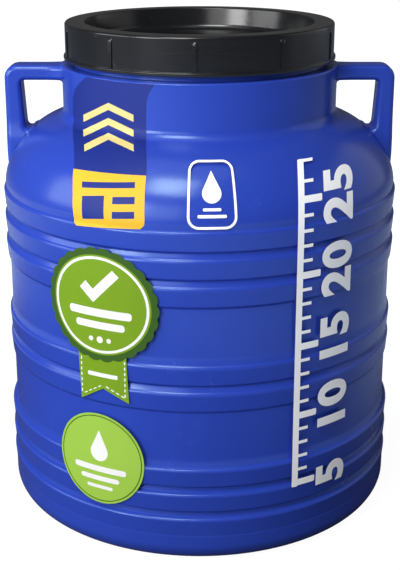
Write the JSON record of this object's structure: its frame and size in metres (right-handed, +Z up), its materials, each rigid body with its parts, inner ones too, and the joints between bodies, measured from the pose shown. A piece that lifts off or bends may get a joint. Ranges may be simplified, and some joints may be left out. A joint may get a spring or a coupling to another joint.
{
  "type": "plastic barrel with screw lid",
  "caption": "Wide-neck plastic barrel with moulded hoops, two loop handles and a sunk-top screw lid with sealing ring.",
  "frame": {"origin": "centre of the base, on the surface that the barrel stands on", "axes": "+Z up along the barrel's axis, the two handles along +X and -X, the front towards -Y"},
  "size_m": [0.342, 0.342, 0.4176],
  "materials": {
    "barrel_plastic": "satin",
    "lid_plastic": "satin",
    "ring_rubber": "matt"
  },
  "bodies": {
    "barrel": {"barrel_body": "barrel_plastic"},
    "ring": {"sealing_ring": "ring_rubber"},
    "lid": {"screw_lid": "lid_plastic"}
  },
  "joints": [
    {"name": "lid_rise", "type": "slide", "parent": "barrel", "child": "ring", "axis": [0, 0, 1], "range_m": [0, 0.03]},
    {"name": "lid_turn", "type": "hinge", "parent": "ring", "child": "lid", "pos_m": [0, 0, 0.3961], "axis": [0, 0, 1], "range_deg": [0, 1080]}
  ],
  "couplings": [
    {"joint": "lid_rise", "follows": "lid_turn", "m_per_rad": 0.0015915}
  ]
}
